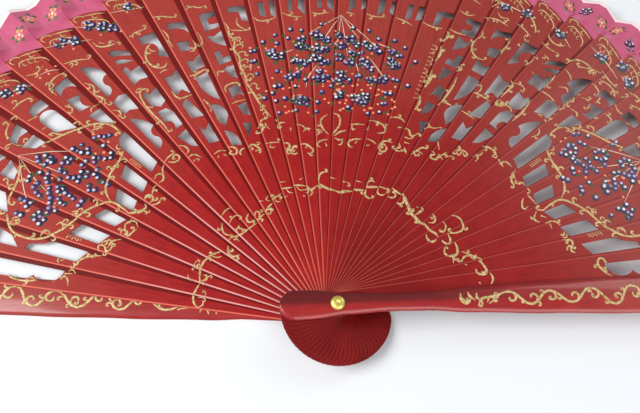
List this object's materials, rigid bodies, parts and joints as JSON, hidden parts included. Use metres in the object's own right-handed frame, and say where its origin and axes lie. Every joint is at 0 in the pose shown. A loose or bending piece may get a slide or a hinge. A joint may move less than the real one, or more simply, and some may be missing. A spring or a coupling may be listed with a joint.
{
  "type": "folding hand fan",
  "caption": "Open folding hand fan with pierced lacquered wooden sticks, two guards, a brass rivet and a narrow pleated cloth leaf.",
  "frame": {"origin": "on the rivet's axis, in the plane of the back guard's underside", "axes": "+Z along the rivet towards its head, +X towards the front guard's side, +Y towards the middle of the leaf"},
  "size_m": [0.4134, 0.2292, 0.0183],
  "materials": {
    "lacquered_wood": "red lacquer, satin",
    "brass": "polished",
    "leaf_cloth": "thin pink cloth",
    "edging_ribbon": "pale ribbon with a gold line",
    "gold_paint": "gold brush paint",
    "flower_paint": "opaque gloss brush paint"
  },
  "bodies": {
    "base": {"back_guard": "lacquered_wood", "rivet": "brass", "rear_washer": "brass", "leaf": "leaf_cloth", "leaf_edging": "edging_ribbon"},
    "stick_01": {"stick_01": "lacquered_wood"},
    "stick_02": {"stick_02": "lacquered_wood"},
    "stick_03": {"stick_03": "lacquered_wood"},
    "stick_04": {"stick_04": "lacquered_wood"},
    "stick_05": {"stick_05": "lacquered_wood"},
    "stick_06": {"stick_06": "lacquered_wood"},
    "stick_07": {"stick_07": "lacquered_wood"},
    "stick_08": {"stick_08": "lacquered_wood"},
    "stick_09": {"stick_09": "lacquered_wood"},
    "stick_10": {"stick_10": "lacquered_wood"},
    "stick_11": {"stick_11": "lacquered_wood"},
    "stick_12": {"stick_12": "lacquered_wood"},
    "stick_13": {"stick_13": "lacquered_wood"},
    "stick_14": {"stick_14": "lacquered_wood"},
    "stick_15": {"stick_15": "lacquered_wood"},
    "stick_16": {"stick_16": "lacquered_wood"},
    "stick_17": {"stick_17": "lacquered_wood"},
    "stick_18": {"stick_18": "lacquered_wood"},
    "stick_19": {"stick_19": "lacquered_wood"},
    "stick_20": {"stick_20": "lacquered_wood"},
    "stick_21": {"stick_21": "lacquered_wood"},
    "stick_22": {"stick_22": "lacquered_wood"},
    "stick_23": {"stick_23": "lacquered_wood"},
    "stick_24": {"stick_24": "lacquered_wood"},
    "stick_25": {"stick_25": "lacquered_wood"},
    "stick_26": {"stick_26": "lacquered_wood"},
    "stick_27": {"stick_27": "lacquered_wood"},
    "stick_28": {"stick_28": "lacquered_wood"},
    "stick_29": {"stick_29": "lacquered_wood"},
    "stick_30": {"stick_30": "lacquered_wood"},
    "stick_31": {"stick_31": "lacquered_wood"},
    "stick_32": {"stick_32": "lacquered_wood"},
    "front_guard": {"front_guard": "lacquered_wood"}
  },
  "joints": [
    {"name": "front_guard_pivot", "type": "hinge", "parent": "base", "child": "front_guard", "pos_m": [0, 0, 0.016], "axis": [0, 0, 1], "range_deg": [0, 173.91], "deforming": ["leaf", "leaf_edging"]},
    {"name": "stick_01_pivot", "type": "hinge", "parent": "base", "child": "stick_01", "pos_m": [0, 0, 0.00178], "axis": [0, 0, 1], "range_deg": [0, 5.32]},
    {"name": "stick_02_pivot", "type": "hinge", "parent": "base", "child": "stick_02", "pos_m": [0, 0, 0.00222], "axis": [0, 0, 1], "range_deg": [0, 10.59]},
    {"name": "stick_03_pivot", "type": "hinge", "parent": "base", "child": "stick_03", "pos_m": [0, 0, 0.00266], "axis": [0, 0, 1], "range_deg": [0, 15.86]},
    {"name": "stick_04_pivot", "type": "hinge", "parent": "base", "child": "stick_04", "pos_m": [0, 0, 0.0031], "axis": [0, 0, 1], "range_deg": [0, 21.13]},
    {"name": "stick_05_pivot", "type": "hinge", "parent": "base", "child": "stick_05", "pos_m": [0, 0, 0.00354], "axis": [0, 0, 1], "range_deg": [0, 26.4]},
    {"name": "stick_06_pivot", "type": "hinge", "parent": "base", "child": "stick_06", "pos_m": [0, 0, 0.00398], "axis": [0, 0, 1], "range_deg": [0, 31.67]},
    {"name": "stick_07_pivot", "type": "hinge", "parent": "base", "child": "stick_07", "pos_m": [0, 0, 0.00442], "axis": [0, 0, 1], "range_deg": [0, 36.94]},
    {"name": "stick_08_pivot", "type": "hinge", "parent": "base", "child": "stick_08", "pos_m": [0, 0, 0.00486], "axis": [0, 0, 1], "range_deg": [0, 42.21]},
    {"name": "stick_09_pivot", "type": "hinge", "parent": "base", "child": "stick_09", "pos_m": [0, 0, 0.0053], "axis": [0, 0, 1], "range_deg": [0, 47.48]},
    {"name": "stick_10_pivot", "type": "hinge", "parent": "base", "child": "stick_10", "pos_m": [0, 0, 0.00574], "axis": [0, 0, 1], "range_deg": [0, 52.75]},
    {"name": "stick_11_pivot", "type": "hinge", "parent": "base", "child": "stick_11", "pos_m": [0, 0, 0.00618], "axis": [0, 0, 1], "range_deg": [0, 58.02]},
    {"name": "stick_12_pivot", "type": "hinge", "parent": "base", "child": "stick_12", "pos_m": [0, 0, 0.00662], "axis": [0, 0, 1], "range_deg": [0, 63.29]},
    {"name": "stick_13_pivot", "type": "hinge", "parent": "base", "child": "stick_13", "pos_m": [0, 0, 0.00706], "axis": [0, 0, 1], "range_deg": [0, 68.56]},
    {"name": "stick_14_pivot", "type": "hinge", "parent": "base", "child": "stick_14", "pos_m": [0, 0, 0.0075], "axis": [0, 0, 1], "range_deg": [0, 73.83]},
    {"name": "stick_15_pivot", "type": "hinge", "parent": "base", "child": "stick_15", "pos_m": [0, 0, 0.00794], "axis": [0, 0, 1], "range_deg": [0, 79.1]},
    {"name": "stick_16_pivot", "type": "hinge", "parent": "base", "child": "stick_16", "pos_m": [0, 0, 0.00838], "axis": [0, 0, 1], "range_deg": [0, 84.37]},
    {"name": "stick_17_pivot", "type": "hinge", "parent": "base", "child": "stick_17", "pos_m": [0, 0, 0.00882], "axis": [0, 0, 1], "range_deg": [0, 89.64]},
    {"name": "stick_18_pivot", "type": "hinge", "parent": "base", "child": "stick_18", "pos_m": [0, 0, 0.00926], "axis": [0, 0, 1], "range_deg": [0, 94.91]},
    {"name": "stick_19_pivot", "type": "hinge", "parent": "base", "child": "stick_19", "pos_m": [0, 0, 0.0097], "axis": [0, 0, 1], "range_deg": [0, 100.18]},
    {"name": "stick_20_pivot", "type": "hinge", "parent": "base", "child": "stick_20", "pos_m": [0, 0, 0.01014], "axis": [0, 0, 1], "range_deg": [0, 105.45]},
    {"name": "stick_21_pivot", "type": "hinge", "parent": "base", "child": "stick_21", "pos_m": [0, 0, 0.01058], "axis": [0, 0, 1], "range_deg": [0, 110.72]},
    {"name": "stick_22_pivot", "type": "hinge", "parent": "base", "child": "stick_22", "pos_m": [0, 0, 0.01102], "axis": [0, 0, 1], "range_deg": [0, 115.99]},
    {"name": "stick_23_pivot", "type": "hinge", "parent": "base", "child": "stick_23", "pos_m": [0, 0, 0.01146], "axis": [0, 0, 1], "range_deg": [0, 121.26]},
    {"name": "stick_24_pivot", "type": "hinge", "parent": "base", "child": "stick_24", "pos_m": [0, 0, 0.0119], "axis": [0, 0, 1], "range_deg": [0, 126.53]},
    {"name": "stick_25_pivot", "type": "hinge", "parent": "base", "child": "stick_25", "pos_m": [0, 0, 0.01234], "axis": [0, 0, 1], "range_deg": [0, 131.8]},
    {"name": "stick_26_pivot", "type": "hinge", "parent": "base", "child": "stick_26", "pos_m": [0, 0, 0.01278], "axis": [0, 0, 1], "range_deg": [0, 137.07]},
    {"name": "stick_27_pivot", "type": "hinge", "parent": "base", "child": "stick_27", "pos_m": [0, 0, 0.01322], "axis": [0, 0, 1], "range_deg": [0, 142.34]},
    {"name": "stick_28_pivot", "type": "hinge", "parent": "base", "child": "stick_28", "pos_m": [0, 0, 0.01366], "axis": [0, 0, 1], "range_deg": [0, 147.61]},
    {"name": "stick_29_pivot", "type": "hinge", "parent": "base", "child": "stick_29", "pos_m": [0, 0, 0.0141], "axis": [0, 0, 1], "range_deg": [0, 152.88]},
    {"name": "stick_30_pivot", "type": "hinge", "parent": "base", "child": "stick_30", "pos_m": [0, 0, 0.01454], "axis": [0, 0, 1], "range_deg": [0, 158.15]},
    {"name": "stick_31_pivot", "type": "hinge", "parent": "base", "child": "stick_31", "pos_m": [0, 0, 0.01498], "axis": [0, 0, 1], "range_deg": [0, 163.42]},
    {"name": "stick_32_pivot", "type": "hinge", "parent": "base", "child": "stick_32", "pos_m": [0, 0, 0.01542], "axis": [0, 0, 1], "range_deg": [0, 168.69]}
  ],
  "couplings": [
    {"joint": "stick_01_pivot", "follows": "front_guard_pivot", "ratio": 0.030303},
    {"joint": "stick_02_pivot", "follows": "front_guard_pivot", "ratio": 0.060606},
    {"joint": "stick_03_pivot", "follows": "front_guard_pivot", "ratio": 0.090909},
    {"joint": "stick_04_pivot", "follows": "front_guard_pivot", "ratio": 0.12121},
    {"joint": "stick_05_pivot", "follows": "front_guard_pivot", "ratio": 0.15152},
    {"joint": "stick_06_pivot", "follows": "front_guard_pivot", "ratio": 0.18182},
    {"joint": "stick_07_pivot", "follows": "front_guard_pivot", "ratio": 0.21212},
    {"joint": "stick_08_pivot", "follows": "front_guard_pivot", "ratio": 0.24242},
    {"joint": "stick_09_pivot", "follows": "front_guard_pivot", "ratio": 0.27273},
    {"joint": "stick_10_pivot", "follows": "front_guard_pivot", "ratio": 0.30303},
    {"joint": "stick_11_pivot", "follows": "front_guard_pivot", "ratio": 0.33333},
    {"joint": "stick_12_pivot", "follows": "front_guard_pivot", "ratio": 0.36364},
    {"joint": "stick_13_pivot", "follows": "front_guard_pivot", "ratio": 0.39394},
    {"joint": "stick_14_pivot", "follows": "front_guard_pivot", "ratio": 0.42424},
    {"joint": "stick_15_pivot", "follows": "front_guard_pivot", "ratio": 0.45455},
    {"joint": "stick_16_pivot", "follows": "front_guard_pivot", "ratio": 0.48485},
    {"joint": "stick_17_pivot", "follows": "front_guard_pivot", "ratio": 0.51515},
    {"joint": "stick_18_pivot", "follows": "front_guard_pivot", "ratio": 0.54545},
    {"joint": "stick_19_pivot", "follows": "front_guard_pivot", "ratio": 0.57576},
    {"joint": "stick_20_pivot", "follows": "front_guard_pivot", "ratio": 0.60606},
    {"joint": "stick_21_pivot", "follows": "front_guard_pivot", "ratio": 0.63636},
    {"joint": "stick_22_pivot", "follows": "front_guard_pivot", "ratio": 0.66667},
    {"joint": "stick_23_pivot", "follows": "front_guard_pivot", "ratio": 0.69697},
    {"joint": "stick_24_pivot", "follows": "front_guard_pivot", "ratio": 0.72727},
    {"joint": "stick_25_pivot", "follows": "front_guard_pivot", "ratio": 0.75758},
    {"joint": "stick_26_pivot", "follows": "front_guard_pivot", "ratio": 0.78788},
    {"joint": "stick_27_pivot", "follows": "front_guard_pivot", "ratio": 0.81818},
    {"joint": "stick_28_pivot", "follows": "front_guard_pivot", "ratio": 0.84848},
    {"joint": "stick_29_pivot", "follows": "front_guard_pivot", "ratio": 0.87879},
    {"joint": "stick_30_pivot", "follows": "front_guard_pivot", "ratio": 0.90909},
    {"joint": "stick_31_pivot", "follows": "front_guard_pivot", "ratio": 0.93939},
    {"joint": "stick_32_pivot", "follows": "front_guard_pivot", "ratio": 0.9697}
  ]
}
